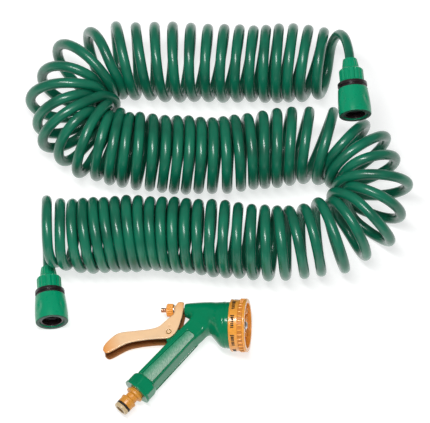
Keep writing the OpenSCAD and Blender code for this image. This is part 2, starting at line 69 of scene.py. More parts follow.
# The connectors' mouths and turns, with the mouth at z = 0 and the hose below it
TAP_AT = (0.187, 0.248, 0.0935)
TAP_TURN = (96, 0, 4.6)
COUPLER_AT = (-0.1297, 0.045, 0.01765)
COUPLER_TURN = (88.5, 0, 5)


def rotation(turn):
    x, y, z = [math.radians(a) for a in turn]
    return Matrix.Rotation(z, 4, "Z") @ Matrix.Rotation(y, 4, "Y") @ Matrix.Rotation(x, 4, "X")


def mm(*place):
    """The frame moved to a place in mm."""
    return Matrix.Translation(Vector(place) * MM)


GUN = Matrix.Translation(GUN_AT) @ rotation(GUN_TURN)
TAP = Matrix.Translation(TAP_AT + HOSE_AT) @ rotation(TAP_TURN)
COUPLER = Matrix.Translation(COUPLER_AT + HOSE_AT) @ rotation(COUPLER_TURN)

# ---- camera
VIEW_ELEVATION = math.radians(64)
VIEW_DISTANCE = 4.0
VIEW_WIDTH = 0.4515
SENSOR = 36.0
view_centre = Vector((0.040, 0.163, 0.039)) + Vector(HOSE_AT)
camera = bpy.data.objects.new("camera", bpy.data.cameras.new("camera"))
scene.collection.objects.link(camera)
camera.data.sensor_width = SENSOR
camera.data.lens = SENSOR * VIEW_DISTANCE / VIEW_WIDTH
toward = Vector((0, -math.cos(VIEW_ELEVATION), math.sin(VIEW_ELEVATION)))
camera.location = view_centre + toward * VIEW_DISTANCE
camera.rotation_euler = (QUARTER - VIEW_ELEVATION, 0, 0)
scene.camera = camera


# ---- mesh helpers
def new_mesh(name, points, faces, place=None):
    """A mesh object from points in mm, set at place, or in metres where place is None."""
    points = np.asarray(points, float)
    if place is not None:
        m = np.array(place)
        points = points * MM @ m[:3, :3].T + m[:3, 3]
    mesh = bpy.data.meshes.new(name)
    mesh.from_pydata(points.tolist(), [], [list(map(int, f)) for f in faces])
    mesh.validate()
    mesh.polygons.foreach_set("use_smooth", [True] * len(mesh.polygons))
    piece = bpy.data.objects.new(name, mesh)
    scene.collection.objects.link(piece)
    return piece


def grid_faces(rows, columns):
    """Quads over rows of points, each row a closed ring joined to the next."""
    faces = []
    for i in range(rows - 1):
        for j in range(columns):
            k = (j + 1) % columns
            faces.append((i * columns + j, i * columns + k, (i + 1) * columns + k, (i + 1) * columns + j))
    return faces


def spline(points, per_span):
    """Points on a Catmull-Rom curve through the given ones."""
    p = np.asarray(points, float)
    p = np.vstack([2 * p[0] - p[1], p, 2 * p[-1] - p[-2]])
    out = []
    for a, b, c, d in zip(p[:-3], p[1:-2], p[2:-1], p[3:]):
        for t in np.arange(per_span) / per_span:
            out.append(0.5 * (2 * b + (c - a) * t + (2 * a - 5 * b + 4 * c - d) * t**2
                              + (3 * b - a - 3 * c + d) * t**3))
    out.append(p[-2])
    return np.array(out)


def arc_lengths(points):
    return np.concatenate([[0], np.cumsum(np.linalg.norm(np.diff(points, axis=0), axis=1))])


def read_at(at, s, points):
    """The line's points at the lengths in at, where s is the length at each of its own."""
    return np.stack([np.interp(at, s, column) for column in points.T], axis=1)


def evenly(points, count):
    """The same curve with its points an equal length apart."""
    s = arc_lengths(points)
    return read_at(np.linspace(0, s[-1], count), s, points)


def unit(v):
    """Each vector with its length made one."""
    return v / np.linalg.norm(v, axis=-1, keepdims=True)


def smooth_steps(x, knots, column=1):
    """A monotone smooth curve read at x. Each knot has its place first, then its values."""
    knots = np.asarray(knots, float)
    xs, ys = knots[:, 0], knots[:, column]
    h = np.diff(xs)
    slope = np.diff(ys) / h
    m = np.concatenate([[slope[0]], np.zeros(len(h) - 1), [slope[-1]]])
    both = slope[:-1] * slope[1:] > 0
    w1, w2 = 2 * h[1:] + h[:-1], h[1:] + 2 * h[:-1]
    safe = np.where(both, slope[:-1], 1), np.where(both, slope[1:], 1)
    m[1:-1] = np.where(both, (w1 + w2) / (w1 / safe[0] + w2 / safe[1]), 0)
    i = np.clip(np.searchsorted(xs, x) - 1, 0, len(h) - 1)
    t = (x - xs[i]) / h[i]
    inside = ys[i] * (1 + 2 * t) * (1 - t) ** 2 + m[i] * h[i] * t * (1 - t) ** 2 \
        + ys[i + 1] * t**2 * (3 - 2 * t) - m[i + 1] * h[i] * t**2 * (1 - t)
    before = ys[0] + m[0] * (x - xs[0])
    after = ys[-1] + m[-1] * (x - xs[-1])
    return np.where(x < xs[0], before, np.where(x > xs[-1], after, inside))


# ---- shapes from fields
def blended(a, b, soft):
    """The two shapes together, with a fillet of about soft mm between them."""
    share = np.clip(0.5 + 0.5 * (b - a) / soft, 0, 1)
    return b + (a - b) * share - soft * share * (1 - share)


def carved(a, b, soft):
    """The first shape with the second taken away, its edges eased."""
    return -blended(-a, b, soft)


def eased(a, b, r):
    """The common part of two shapes, with its edge rounded to radius r."""
    a, b = a + r, b + r
    return np.minimum(np.maximum(a, b), 0) + np.hypot(np.maximum(a, 0), np.maximum(b, 0)) - r


def polyline_distance(x, y, points):
    best = np.inf
    for a, b in zip(points[:-1], points[1:]):
        ex, ey = b - a
        px, py = x - a[0], y - a[1]
        t = np.clip((px * ex + py * ey) / (ex * ex + ey * ey), 0, 1)
        best = np.minimum(best, np.hypot(px - t * ex, py - t * ey))
    return best


def outline_distance(x, y, points):
    """Distance to a closed outline, less than zero inside it."""
    closed = np.vstack([points, points[:1]])
    inside = np.zeros(np.broadcast(x, y).shape, bool)
    for a, b in zip(closed[:-1], closed[1:]):
        if a[1] != b[1]:
            across = (a[1] > y) != (b[1] > y)
            inside ^= across & (x < a[0] + (b[0] - a[0]) * (y - a[1]) / (b[1] - a[1]))
    far = polyline_distance(x, y, closed)
    return np.where(inside, -far, far)


# How far from a point a field's slope is measured, in mm
PROBE = 0.05


def skin(name, field, low, high, cell, place):
    """A mesh of the surface where field is zero: one point per cell, moved onto the surface."""
    axes = [np.arange(a, b + cell, cell) for a, b in zip(low, high)]
    full = tuple(len(a) for a in axes)
    value = np.broadcast_to(field(*np.meshgrid(*axes, indexing="ij", sparse=True)), full)
    inside = value < 0
    corners = list(np.ndindex(2, 2, 2))
    last = [n - 1 for n in full]
    filled = sum(inside[i:last[0] + i, j:last[1] + j, k:last[2] + k].astype(np.int8) for i, j, k in corners)
    cells = np.argwhere((filled > 0) & (filled < 8))
    at = {c: value[tuple((cells + c).T)] for c in corners}
    total, count = np.zeros((len(cells), 3)), np.zeros(len(cells))
    for start in corners:
        for axis in range(3):
            if start[axis] == 0:
                end = tuple(1 if a == axis else start[a] for a in range(3))
                crosses = (at[start] < 0) != (at[end] < 0)
                t = np.where(crosses, at[start] / np.where(crosses, at[start] - at[end], 1), 0)
                where = np.array(start, float) + t[:, None] * np.eye(3)[axis]
                total += where * crosses[:, None]
                count += crosses
    points = np.array(low) + cell * (cells + total / count[:, None])
    for _ in range(4):
        here = field(*points.T)
        slope = np.stack([(field(*(points + d).T) - field(*(points - d).T)) / (2 * PROBE)
                          for d in np.eye(3) * PROBE], axis=1)
        step = slope * (here / np.maximum((slope ** 2).sum(axis=1), 0.05))[:, None]
        points = points - np.clip(step, -0.3 * cell, 0.3 * cell)
    number = np.full(last, -1)
    number[tuple(cells.T)] = np.arange(len(cells))
    faces = []
    for axis in range(3):
        one, b, c = np.roll(np.eye(3, dtype=int), -axis, axis=0)
        low_end = inside[tuple(slice(0, n - o) for n, o in zip(full, one))]
        high_end = inside[tuple(slice(o, n) for n, o in zip(full, one))]
        edges = np.argwhere(low_end != high_end)
        edges = edges[np.all(edges >= b + c, axis=1) & np.all(edges < np.array(full) - 1, axis=1)]
        quads = np.stack([number[tuple((edges - shift).T)] for shift in (b + c, c, 0 * b, b)], axis=1)
        out = low_end[tuple(edges.T)]
        faces.append(np.where(out[:, None], quads, quads[:, ::-1]))
    return new_mesh(name, points, np.vstack(faces), place)


# ---- turned shapes
# Edges sharper than this are shaded as edges
SHARP_EDGE = math.radians(38)


def filleted(outline, r, steps=4):
    """A closed outline with each corner rounded to r, or less where an edge is short."""
    p = np.asarray(outline, float)
    out = []
    for before, here, after in zip(np.roll(p, 1, axis=0), p, np.roll(p, -1, axis=0)):
        u, v = before - here, after - here
        lu, lv = np.linalg.norm(u), np.linalg.norm(v)
        turn = math.acos(np.clip(u @ v / (lu * lv), -1, 1))
        if here[0] < 1e-6 or math.pi - turn < 0.15:
            out.append(here)
            continue
        back = min(r / math.tan(turn / 2), 0.45 * lu, 0.45 * lv)
        a, b = here + u / lu * back, here + v / lv * back
        for t in np.linspace(0, 1, steps + 1):
            out.append((1 - t) ** 2 * a + 2 * t * (1 - t) * here + t ** 2 * b)
    return np.array(out)


def refined(outline, step):
    """The closed outline with points no more than step apart."""
    out = []
    for a, b in zip(outline, np.roll(outline, -1, axis=0)):
        parts = max(1, int(np.linalg.norm(b - a) / step + 0.999))
        out += [a + (b - a) * i / parts for i in range(parts)]
    return np.array(out)


def turned(name, outline, place, sides=96, shape=None, bevel=0.35, step=None):
    """A round piece about Z from its closed outline of (radius, z), in mm.

    shape(r, z, angle) gives the radius at each point, where the piece isn't quite round."""
    ring = filleted(outline, bevel) if bevel else np.asarray(outline, float)
    if step:
        ring = refined(ring, step)
    angle = np.arange(sides) * 2 * math.pi / sides
    r, z, a = ring[:, :1] + 0 * angle, ring[:, 1:] + 0 * angle, angle + 0 * ring[:, :1]
    if shape:
        r = shape(r, z, a)
    points = np.stack([r * np.cos(a), r * np.sin(a), z], axis=2).reshape(-1, 3)
    rows = len(ring)
    last = (rows - 1) * sides
    faces = grid_faces(rows, sides)
    faces += [(last + j, last + (j + 1) % sides, (j + 1) % sides, j) for j in range(sides)]
    return cleaned(new_mesh(name, points, faces, place))


def cleaned(piece):
    """Merges points that lie together, such as those on the axis, and turns all faces outwards."""
    mesh = bmesh.new()
    mesh.from_mesh(piece.data)
    bmesh.ops.remove_doubles(mesh, verts=mesh.verts, dist=2e-7)
    bmesh.ops.dissolve_degenerate(mesh, edges=mesh.edges, dist=1e-7)
    bmesh.ops.recalc_face_normals(mesh, faces=mesh.faces)
    mesh.to_mesh(piece.data)
    mesh.free()
    return piece


# ---- the hose's own line
# The hose's thickness, its radius at the connectors, how far it keeps that, and how soon it swells
HOSE_D, END_R, THIN_END, SWELL_RUN = 0.011, 0.005, 0.09, 0.06
RINGS, HOSE_SIDES = 2900, 20
# The coil's radius and height, and how much its turns wander from a true circle
COIL_R, COIL_Z, WANDER = 0.035, 0.040, 0.0006
# The coil's middle line on the floor, from the tap's end
UPPER_RUN = [(0.155, 0.3365), (0.12, 0.338), (0.08, 0.337), (0.032, 0.338), (-0.028, 0.3396),
             (-0.066, 0.34)]
LEFT_BEND_AT, LEFT_BEND_R = (-0.066, 0.2895), 0.0505
MIDDLE_RUN = [(-0.095, 0.249), (-0.066, 0.2375), (-0.018, 0.23), (0.041, 0.2277), (0.09, 0.2345),
              (0.129, 0.239), (0.153, 0.239)]
RIGHT_BEND_AT, RIGHT_BEND_R = (0.153, 0.1865), 0.0525
LOWER_RUN = [(0.168, 0.1365), (0.136, 0.1285), (0.098, 0.1255), (0.024, 0.133), (-0.034, 0.137),
             (-0.091, 0.1345), (-0.1115, 0.1345)]
BEND_STEPS = 8
# The leads between the coil and the connectors, in mm
TAP_ROUTE = [
    (181.3, 319, 100.4), (179.5, 330, 98.6), (177, 341, 93.4), (173.5, 350, 84.4), (170.5, 355.5, 73),
    (168, 358.8, 60), (165.5, 360, 47), (163.5, 359, 34), (162.5, 354.5, 21), (161.8, 346, 11.3),
    (161.2, 335.5, 6.3), (160.6, 325, 6.2)]
GUN_ROUTE = [
    (-113, 133, 5.2), (-112.2, 115.5, 9.7), (-114.1, 102.7, 22.5), (-118.2, 98, 40), (-120.2, 102, 57.5),
    (-121, 115, 70.3), (-121.3, 133, 75), (-121.5, 151, 70.2), (-121.8, 164, 57), (-122.5, 169, 40),
    (-123, 165, 22.5), (-123.4, 153, 10.5), (-123.6, 137, 6.3), (-121.8, 120.5, 11.8),
    (-124.8, 107.2, 31.4), (-130, 102, 46.8), (-133.2, 107, 62), (-134.2, 120, 73.5), (-134.7, 137, 77),
    (-135.1, 154, 72.5), (-136, 166, 60), (-136.6, 170.5, 43), (-137, 166.5, 26), (-137.2, 155, 14.5),
    (-137, 142, 11), (-136.4, 130, 12.6), (-135.8, 119, 15.2)]
# Behind a connector's mouth: the hose's end, the nut's rear, and how far the hose goes on straight
HOSE_STOP, NUT_REAR, NUT_BACK = 0.0473, 0.0635, 0.004

# Turns of the coil against the length along its middle line, in metres: close where the
# coil is pushed together, wide where it is drawn out. The last place stands for the line's end.
TURNS = [(-0.006, 0.553), (0.003, 1), (0.091, 7), (0.14, 10), (0.231, 15), (0.272, 16.9), (0.314, 19.25),
         (0.34, 21.25), (0.369, 23.25), (0.393, 25.25), (0.421, 27.25), (0.472, 31.25), (0.527, 35.25),
         (0.588, 39.25), (0.624, 40.75), (0.656, 42.75), (0.697, 44.75), (0.734, 46.75), (0.754, 47.75),
         (0.774, 48.75), (0.879, 55.75), (1.043, 68.5)]
# How far each turn's near and far side lean apart along the coil, and how far its top bulges
LEAN = [(0, -0.007), (0.108, -0.005), (0.14, -0.003), (0.157, -0.001), (0.175, 0.0005), (0.194, 0.003),
        (0.22, 0.005), (0.27, 0.004), (0.33, 0.001), (0.397, 0.001), (0.5, -0.004), (0.592, -0.0095),
        (0.7, -0.004), (0.8, 0), (1.043, 0)]
BULGE = [(0, 0), (0.1, 0.001), (0.19, 0.004), (0.26, 0.003), (0.383, 0.003), (0.44, 0.0045),
         (0.53, 0.001), (0.8, 0), (0.95, 0.004), (1.043, 0.004)]
# How much wider the coil is than at its gun end
GROW = [(0, 0), (0.03, 0.0022), (0.28, 0.0026), (0.42, 0.0015), (0.6, 0.0016), (0.8, 0.0004), (1.043, 0)]
# In the two bends every other turn stands wider, so that the turns can pass each other
STAGGER = [(0.2, 0), (0.26, 0.003), (0.35, 0.003), (0.41, 0), (0.58, 0), (0.64, 0.003), (0.74, 0.003),
           (0.8, 0)]
STEPS_A_TURN, FINE_STEPS = 40, 60000
# Points left out where a lead joins the coil, and the rings that the join is evened out over
LEAD_TRIM, JOIN_REACH, JOIN_ROUNDS = 6, 12, 40
# Moving turns apart: rings kept at each end, rings that count as neighbours, and rounds
FIXED_RINGS, NEAR_RINGS, PART_ROUNDS = 36, 12, 25
PUSH, SHARE_ROUNDS, OVERSHOOT = 0.35, 6, 1.6


def arc(centre, r, start, end):
    angles = [math.radians(start + (end - start) * i / BEND_STEPS) for i in range(1, BEND_STEPS)]
    return [(centre[0] + r * math.cos(a), centre[1] + r * math.sin(a)) for a in angles]


def at_knots(s, knots):
    """The curve through the knots, held level past its ends."""
    return smooth_steps(np.clip(s, knots[0][0], knots[-1][0]), knots)


def coil_line():
    """The coil's turns, from the tap's end to the gun's."""
    middle = UPPER_RUN + arc(LEFT_BEND_AT, LEFT_BEND_R, 90, 235) + MIDDLE_RUN \
        + arc(RIGHT_BEND_AT, RIGHT_BEND_R, 90, -60) + LOWER_RUN
    middle = spline(middle, 24)
    s = arc_lengths(middle)
    fine = np.linspace(TURNS[0][0], s[-1], FINE_STEPS)
    turns = smooth_steps(fine, TURNS[:-1] + [(s[-1], TURNS[-1][1])])
    theta = np.arange(turns[0], turns[-1], 1 / STEPS_A_TURN)
    along = np.interp(theta, turns, fine)
    theta = theta * 2 * math.pi
    # The line goes on straight before its first point
    centre = read_at(along, s, middle) + np.minimum(along, 0)[:, None] * unit(middle[1] - middle[0])
    heading = unit(read_at(along, s, np.gradient(middle, axis=0)))
    side = np.stack([heading[:, 1], -heading[:, 0]], axis=1)
    wander = WANDER * (np.sin(theta * 0.113) + np.sin(theta * 0.271 + 1.3))
    grow = at_knots(along, GROW)
    reach = COIL_R - WANDER + grow + wander + at_knots(along, STAGGER) * np.cos(theta / 2)
    push = at_knots(along, LEAN) * np.sin(theta) + at_knots(along, BULGE) * np.cos(theta)
    flat = centre + heading * push[:, None] + side * (reach * np.sin(theta))[:, None]
    return np.column_stack([flat, COIL_Z + grow + (COIL_R + grow + 0.5 * wander) * np.cos(theta)])


def lead_line(place, route):
    """From inside a connector, straight out of its nut and along the route."""
    start = [place @ Vector((0, 0, -back)) for back in np.linspace(HOSE_STOP, NUT_REAR + NUT_BACK, 4)]
    return spline(np.vstack([start, np.array(route) * MM + HOSE_AT]), 10)


def settle(line, centre):
    """Evens out the curve round one ring, less and less away from it."""
    off = (np.arange(1, len(line) - 1) - centre) / JOIN_REACH
    weight = 0.5 * (1 + np.cos(np.clip(off, -1, 1) * math.pi))
    for _ in range(JOIN_ROUNDS):
        mean = (line[:-2] + line[2:]) / 2
        line[1:-1] += 0.5 * weight[:, None] * (mean - line[1:-1])
    return line


def part_turns(line, space):
    """Moves turns that lie in each other apart, as plastic that can't share its place."""
    for _ in range(PART_ROUNDS):
        tree = KDTree(len(line))
        for i, p in enumerate(line):
            tree.insert(p, i)
        tree.balance()
        shift = np.zeros_like(line)
        for i in range(FIXED_RINGS, len(line) - FIXED_RINGS):
            for p, j, gap in tree.find_range(line[i], space):
                if abs(i - j) > NEAR_RINGS and gap > 0:
                    shift[i] += (line[i] - p) / gap * (space - gap) * PUSH
        for _ in range(SHARE_ROUNDS):
            shift[1:-1] = (shift[:-2] + 2 * shift[1:-1] + shift[2:]) / 4
        line = line + shift * OVERSHOOT
        line[:, 2] = np.maximum(line[:, 2], HOSE_D / 2)
    return line


def hose_line():
    """The whole hose, from inside the tap's connector to inside the coupler."""
    tap = lead_line(TAP, TAP_ROUTE)[:-LEAD_TRIM]
    gun = lead_line(COUPLER, GUN_ROUTE[::-1])[::-1][LEAD_TRIM:]
    coil = coil_line() + np.append(HOSE_AT[:2], 0)
    line = np.vstack([tap, coil, gun])
    whole = arc_lengths(line)[-1]
    line = evenly(line, RINGS)
    for join in (arc_lengths(tap)[-1], whole - arc_lengths(gun)[-1]):
        line = settle(line, RINGS * join / whole)
    return evenly(part_turns(line, 0.99 * HOSE_D), RINGS)


def tube(name, line, sides):
    """A closed round tube along a line in metres, a little thinner at the connectors."""
    course = unit(np.gradient(line, axis=0))
    normal = np.cross(course[0], (0, 0, 1.0))
    turn = np.arange(sides) * 2 * math.pi / sides
    run = arc_lengths(line)
    from_end = np.minimum(run, run[-1] - run)
    swell = np.clip((from_end - THIN_END) / SWELL_RUN, 0, 1) * (HOSE_D / 2 - END_R)
    rings = []
    for c, t, radius in zip(line, course, END_R + swell):
        normal = unit(normal - t * (normal @ t))
        around = np.outer(np.cos(turn), normal) + np.outer(np.sin(turn), np.cross(t, normal))
        rings.append(c + radius * around)
    faces = grid_faces(len(line), sides)
    faces.append(tuple(range(sides))[::-1])
    faces.append(tuple(range((len(line) - 1) * sides, len(line) * sides)))
    return new_mesh(name, np.vstack(rings), faces)


# ---- materials
def srgb(code):
    """Linear colour of a six-digit web colour."""
    parts = [int(code[i:i + 2], 16) / 255 for i in (0, 2, 4)]
    return [p / 12.92 if p <= 0.04045 else ((p + 0.055) / 1.055) ** 2.4 for p in parts] + [1.0]


finishes = {}


class Finish:
    """One material, kept in finishes by its name, and short ways to add to its nodes."""

    def __init__(self, name, **constants):
        material = finishes[name] = bpy.data.materials.new(name)
        material.use_nodes = True
        self.tree = material.node_tree
        self.shader = self.tree.nodes["Principled BSDF"]
        for socket, value in constants.items():
            self.shader.inputs[socket.replace("_", " ")].default_value = value
        self.place = self.add("ShaderNodeTexCoord").outputs["Object"]

    def add(self, kind, **settings):
        node = self.tree.nodes.new(kind)
        for key, value in settings.items():
            if key in node.inputs:
                node.inputs[key].default_value = value
            else:
                setattr(node, key, value)
        return node

    def link(self, source, target):
        self.tree.links.new(source, target)

    def stretched(self, scale, turn=(0, 0, 0)):
        """Object coordinates scaled, or seen along another frame."""
        node = self.add("ShaderNodeMapping")
        node.inputs["Scale"].default_value = scale
        node.inputs["Rotation"].default_value = turn
        self.link(self.place, node.inputs["Vector"])
        return node.outputs["Vector"]

    def noise(self, scale, detail=3.0, rough=0.5, vector=None):
        node = self.add("ShaderNodeTexNoise", Scale=scale, Detail=detail, Roughness=rough)
        self.link(vector or self.place, node.inputs["Vector"])
        return node.outputs["Fac"]

    def cells(self, scale):
        node = self.add("ShaderNodeTexVoronoi", Scale=scale)
        self.link(self.place, node.inputs["Vector"])
        return node.outputs["Distance"]

    def ramp(self, source, stops):
        """A colour ramp over (place, colour) stops."""
        node = self.add("ShaderNodeValToRGB")
        marks = node.color_ramp.elements
        while len(marks) < len(stops):
            marks.new(0.5)
        for mark, (place, colour) in zip(marks, stops):
            mark.position, mark.color = place, colour
        self.link(source, node.inputs["Fac"])
        return node.outputs["Color"]

    def spread(self, source, low, high, start=0.3, end=0.7):
        """source read from start..end to low..high."""
        node = self.add("ShaderNodeMapRange")
        for key, value in zip(("From Min", "From Max", "To Min", "To Max"), (start, end, low, high)):
            node.inputs[key].default_value = value
        self.link(source, node.inputs["Value"])
        return node.outputs["Result"]

    def mixed(self, share, a, b, blend="MIX"):
        node = self.add("ShaderNodeMix", data_type="RGBA", blend_type=blend)
        for socket, value in ((node.inputs["Factor"], share), (node.inputs[6], a), (node.inputs[7], b)):
            if isinstance(value, bpy.types.NodeSocket):
                self.link(value, socket)
            else:
                socket.default_value = value
        return node.outputs[2]

    def tones(self, source, code, dark, light, places=(0.3, 0.5, 0.72)):
        """A colour that is darker where source is low and lighter where it is high."""
        base = srgb(code)[:3]
        shades = [[min(1, c * k) for c in base] + [1] for k in (dark, 1, light)]
        return self.ramp(source, list(zip(places, shades)))

    def dimmed(self, colour, source):
        """The colour, darker as source falls from 1 to 0."""
        grey = self.ramp(source, [(0, (0, 0, 0, 1)), (1, (1, 1, 1, 1))])
        return self.mixed(1.0, colour, grey, "MULTIPLY")

    def along(self, place, direction):
        """How far a point lies from a place along a direction, both in the gun's frame, in mm."""
        off = self.add("ShaderNodeVectorMath", operation="SUBTRACT")
        self.link(self.place, off.inputs[0])
        off.inputs[1].default_value = GUN @ mm(*place, 0).translation
        way = self.add("ShaderNodeVectorMath", operation="DOT_PRODUCT")
        self.link(off.outputs["Vector"], way.inputs[0])
        way.inputs[1].default_value = (GUN.to_3x3() @ Vector((*direction, 0))).normalized() / MM
        return way.outputs["Value"]

    def colour(self, source):
        self.link(source, self.shader.inputs["Base Color"])

    def roughness(self, source):
        self.link(source, self.shader.inputs["Roughness"])

    def bump(self, *layers):
        """layers are (source, depth in metres, strength), stacked from the first up."""
        below = None
        for source, depth, strength in layers:
            node = self.add("ShaderNodeBump", Distance=depth, Strength=strength)
            self.link(source, node.inputs["Height"])
            if below is not None:
                self.link(below, node.inputs["Normal"])
            below = node.outputs["Normal"]
        self.link(below, self.shader.inputs["Normal"])


def moulded(name, code, rough=0.4, variation=0.1, grain=0.00003, grain_scale=1500, **constants):
    """Moulded plastic: a slow change of tone, flow marks, and a fine orange-peel surface."""
    f = Finish(name, **constants)
    tone = f.tones(f.noise(28, 4), code, 1 - variation, 1 + variation)
    f.colour(f.dimmed(tone, f.spread(f.noise(2600, 2), 0.94, 1.04)))
    f.roughness(f.spread(f.noise(160, 5, 0.65), rough * 0.8, rough * 1.3))
    f.bump((f.noise(grain_scale, 3), grain, 0.6), (f.noise(grain_scale * 0.12, 2), grain * 4, 0.25))


def hose_finish():
    """Flexible polyurethane: deep green, a little clear, with faint draw lines and dust."""
    f = Finish("hose_green", Coat_Weight=0.6, Coat_Roughness=0.2, IOR=1.4)
    tone = f.tones(f.noise(36, 4), "086f53", 0.7, 1.22, (0.32, 0.52, 0.75))
    dust = f.spread(f.noise(1500, 4, 0.7), 0, 0.10, 0.62, 0.78)
    f.colour(f.mixed(dust, tone, srgb("5fa58c")))
    f.roughness(f.spread(f.noise(210, 5, 0.6), 0.3, 0.45))
    f.bump((f.noise(420, 3), 0.00006, 0.35), (f.noise(2400, 2), 0.00002, 0.3))


def painted(name, code, rough, flake=0.05, warm=None, **constants):
    """Paint with fine metal flakes: slow drift in tone, sparkle grains, and handling wear."""
    f = Finish(name, **constants)
    tone = f.tones(f.noise(34, 4), code, 0.9, 1.08)
    if warm:
        tone = f.mixed(f.spread(f.noise(17, 2), 0, 0.5), tone, srgb(warm))
    grained = f.dimmed(tone, f.spread(f.cells(3200), 1 - 2 * flake, 1.0, 0.1, 0.6))
    f.colour(grained)
    f.roughness(f.spread(f.noise(240, 5, 0.65), rough * 0.8, rough * 1.35))
    f.bump((f.noise(1400, 3), 0.000012, 0.5), (f.noise(180, 3), 0.00005, 0.3))
    return f, grained


def metal(name, code, rough, scratches=(2600, 90, 2600)):
    """Turned or drawn metal, with fine marks along one way."""
    f = Finish(name, Metallic=1.0)
    marks = f.noise(1, 4, 0.6, f.stretched(scratches))
    f.colour(f.tones(marks, code, 0.82, 1.12, (0.3, 0.5, 0.7)))
    f.roughness(f.spread(marks, rough * 0.7, rough * 1.4))
    f.bump((marks, 0.00001, 0.5))


def inlay_finish():
    """Textured inlay: mid green by the trigger, paler and hatched away from it. The change from mid green to
    pale is painted shade and a painted reflection across the plate.
    """
    f = Finish("inlay_mint", IOR=1.45, Roughness=0.42)
    lean = f.add("ShaderNodeMath", operation="MULTIPLY_ADD")
    f.link(f.along(GRIP_TOP, DOWN_GRIP), lean.inputs[0])
    lean.inputs[1].default_value = -0.06
    f.link(f.along(GRIP_TOP, ACROSS_GRIP), lean.inputs[2])
    # From mid green to pale across the plate: painted shade by the trigger and a painted reflection away from
    # it
    share = f.spread(lean.outputs["Value"], 1.0, 0.0, -6.5, 0.5)
    hatch = f.noise(1, 3, 0.6, f.stretched((1500, 420, 1500), (0, 0, 0.7)))
    pale = f.ramp(hatch, [(0.34, srgb("699583")), (0.5, srgb("8ab197")), (0.66, srgb("aac4b0"))])
    deep = f.ramp(hatch, [(0.34, srgb("1c7d56")), (0.5, srgb("2a8e67")), (0.66, srgb("45a37d"))])
    f.colour(f.mixed(share, deep, pale))
    f.bump((hatch, 0.00012, 0.6), (f.noise(2500, 2), 0.00003, 0.4))


def trigger_finish():
    """Pale gold, deeper at the lever's tip and at the top of its short arm."""
    f, tone = painted("trigger_gold", "ffd6a8", 0.34, 0.03, "ffc48e", Coat_Weight=0.3, Coat_Roughness=0.1)
    tip = f.spread(f.along((-131, -33), (1, 0.3)), 1, 0, -1, 20)
    top = f.spread(f.along((-56, 23), (-0.4, -1)), 1, 0, -5, 11)
    tone = f.mixed(tip, tone, srgb("f09a3e"))
    f.colour(f.mixed(top, tone, srgb("f0a044")))


def tail_finish():
    """Gold like the dial, paler on the nose in front of its sealing ring, as painted light."""
    f, tone = painted("tail_gold", "e39a3a", 0.3, 0.06, "c98a3a")
    # The pale nose is painted light: the same gold as if lit differently
    nose = f.spread(f.along(GRIP_TOP, DOWN_GRIP), 0, 0.85, 99.2, 100.6)
    f.colour(f.mixed(nose, tone, srgb("cdbb94")))


def rubber(name, code):
    f = Finish(name, IOR=1.5)
    f.colour(f.tones(f.noise(300, 4), code, 0.8, 1.4, (0.3, 0.5, 0.75)))
    f.roughness(f.spread(f.noise(500, 4), 0.45, 0.65))
    f.bump((f.noise(1500, 3), 0.00002, 0.5))


def dressed(piece, finish):
    piece.data.materials.clear()
    piece.data.materials.append(finishes[finish])
    return piece


def part(piece, finish, body, *nodes, slot=None):
    """Dresses a piece and hangs it on its body, in place of the CAD nodes it stands for."""
    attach(dressed(piece, finish), body)
    if nodes:
        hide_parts(*nodes)
    return piece


def second_finish(piece, finish, place, where):
    """Another material on the faces whose centres, in a frame's mm, answer to where."""
    piece.data.materials.append(finishes[finish])
    centres = np.empty(len(piece.data.polygons) * 3)
    piece.data.polygons.foreach_get("center", centres)
    back = np.array(place.inverted())
    x, y, z = (centres.reshape(-1, 3) @ back[:3, :3].T + back[:3, 3]).T / MM
    piece.data.polygons.foreach_set("material_index", where(x, y, z).astype(np.int32))


# ---- the gun's casting
HEAD_LEN, PORT_R = 50.3, 17
# The barrel's sections: place behind the dial, height of the centre, radius
BARREL = [(0, 0, 24.3), (6.5, 0.3, 24.3), (10, 0.8, 23.6), (13, 2, 22.4), (17, 4.4, 20), (22.5, 7.7, 17.3),
          (30, 10.2, 14.8), (38, 13.2, 11.6), (46, 16, 8.4), (HEAD_LEN, PORT_R, 6.9)]
GRIP_TOP, GRIP_ANGLE = (-45.5, -15.3), math.radians(52.3 - 90)
DOWN_GRIP = math.sin(GRIP_ANGLE), -math.cos(GRIP_ANGLE)
ACROSS_GRIP = -math.cos(GRIP_ANGLE), -math.sin(GRIP_ANGLE)
GRIP_LEN, GRIP_DEPTH, GRIP_ROUND = 63, 20, 3.4
# The handle's sections: place down it, shift towards the trigger, half of its width
GRIP = [(-22, -1, 10), (-12, -1, 10.6), (-5, -0.6, 10.4), (2, 0, 9.8), (63, 0, 10.9)]
PIVOT, PIVOT_R, EAR_R = (-63.7, -12.2), 2, 4.6
LUG = [(-60.2, -9.1), (-48, -8), (-56, -26), (-64.5, -25.5), (-67.6, -14.6)]
# The tray in the handle's face: places across the handle and down it
TRAY = [(5.9, 62), (-8.8, 62), (-8.3, -3.6), (-6.8, -5.2), (0.4, -5.2), (2.2, -3.6)]
TRAY_DEPTH = 1.2


def along_grip(x, y):
    """Places down the handle and across it, towards the trigger."""
    dx, dy = x - GRIP_TOP[0], y - GRIP_TOP[1]
    return dx * DOWN_GRIP[0] + dy * DOWN_GRIP[1], dx * ACROSS_GRIP[0] + dy * ACROSS_GRIP[1]


def from_pivot(x, y):
    return np.hypot(x - PIVOT[0], y - PIVOT[1])


def barrel(x, y, z):
    centre, r = smooth_steps(-x, BARREL, 1), smooth_steps(-x, BARREL, 2)
    rim = 0.45 * np.exp(-((x + 5.2) / 0.55) ** 2)
    side = (np.hypot(y - centre, z) - r + rim) * 0.86
    return eased(side, np.maximum(x, -HEAD_LEN - x), 0.9)


